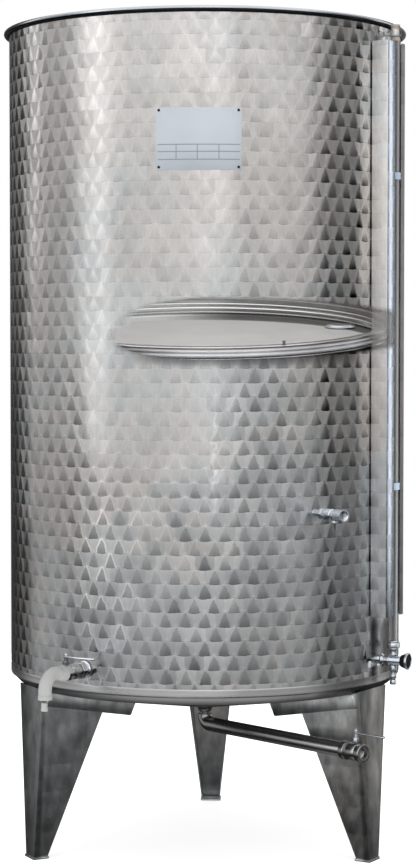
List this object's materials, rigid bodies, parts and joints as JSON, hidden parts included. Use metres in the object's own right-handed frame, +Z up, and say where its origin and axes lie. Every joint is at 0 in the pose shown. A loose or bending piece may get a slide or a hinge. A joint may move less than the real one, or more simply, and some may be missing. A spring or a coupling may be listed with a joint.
{
  "type": "vertical storage tank",
  "caption": "Open-top round storage tank on folded legs, with a floating lid, level gauge, side tap, sample tap and bottom drain.",
  "frame": {"origin": "floor level, at the middle of the footprint, which is 16.8 mm in front of the tank's own axis", "axes": "+Z up along the tank's axis, -Y towards the front with the name plate, +X to the right seen from the front"},
  "size_m": [0.945, 0.974, 1.9075],
  "materials": {
    "marbled_steel": "marbled in overlapping scales",
    "plain_steel": "satin",
    "leg_steel": "satin, faintly marbled",
    "polished_steel": "polished",
    "clear_tube": "clear, slightly milky",
    "white_plastic": "semi-gloss moulded",
    "pale_rubber": "smooth",
    "plate_metal": "pale, satin"
  },
  "bodies": {
    "tank": {"shell_1": "marbled_steel", "shell_2": "marbled_steel", "shell_3": "marbled_steel", "shell_4": "marbled_steel", "shell_5": "marbled_steel", "shell_6": "marbled_steel", "shell_7": "marbled_steel", "shell_8": "marbled_steel", "top_rim": "plain_steel", "bottom_band": "plain_steel", "tank_bottom": "plain_steel", "leg_1": "leg_steel", "leg_2": "leg_steel", "leg_3": "leg_steel", "foot_1": "leg_steel", "foot_2": "leg_steel", "foot_3": "leg_steel", "leg_1_bracket_a": "leg_steel", "leg_1_bracket_b": "leg_steel", "leg_2_bracket_a": "leg_steel", "leg_2_bracket_b": "leg_steel", "leg_3_bracket_a": "leg_steel", "leg_3_bracket_b": "leg_steel", "gauge_guard": "marbled_steel", "gauge_tube": "clear_tube", "gauge_nut": "polished_steel", "gauge_neck": "polished_steel", "gauge_cock": "polished_steel", "gauge_clip_low": "plate_metal", "gauge_clip_high": "plate_metal", "gauge_clip_top": "plate_metal", "outlet_pipe": "polished_steel", "outlet_mouth": "polished_steel", "name_plate": "plate_metal", "tap_stub": "polished_steel", "tap_body": "polished_steel", "tap_elbow": "white_plastic", "tap_nozzle": "white_plastic", "sample_stub": "polished_steel", "sample_body": "polished_steel", "sample_spout": "polished_steel", "drain_stub": "polished_steel", "drain_pipe": "plain_steel", "drain_valve": "polished_steel"},
    "lid": {"lid_pan": "plain_steel", "lid_channel": "plain_steel", "lid_hose": "pale_rubber", "lid_cap": "plain_steel", "lid_air_valve": "polished_steel"},
    "tap_handle": {"tap_stem": "polished_steel", "tap_lever": "polished_steel"},
    "drain_handle": {"drain_stem": "polished_steel", "drain_lever": "polished_steel"},
    "sample_knob": {"sample_knob": "polished_steel"}
  },
  "joints": [
    {"name": "lid_float", "type": "slide", "parent": "tank", "child": "lid", "axis": [0, 0, 1], "range_m": [-0.67, 0.56]},
    {"name": "tap_turn", "type": "hinge", "parent": "tank", "child": "tap_handle", "pos_m": [-0.30474, -0.40886, 0.4605], "axis": [0, 0, -1], "range_deg": [0, 90]},
    {"name": "drain_turn", "type": "hinge", "parent": "tank", "child": "drain_handle", "pos_m": [0.33503, -0.35529, 0.275], "axis": [0, 0, -1], "range_deg": [0, 90]},
    {"name": "sample_turn", "type": "hinge", "parent": "tank", "child": "sample_knob", "pos_m": [0.28552, -0.4419, 0.809], "axis": [0.5284, -0.849, 0], "range_deg": [0, 180]}
  ]
}
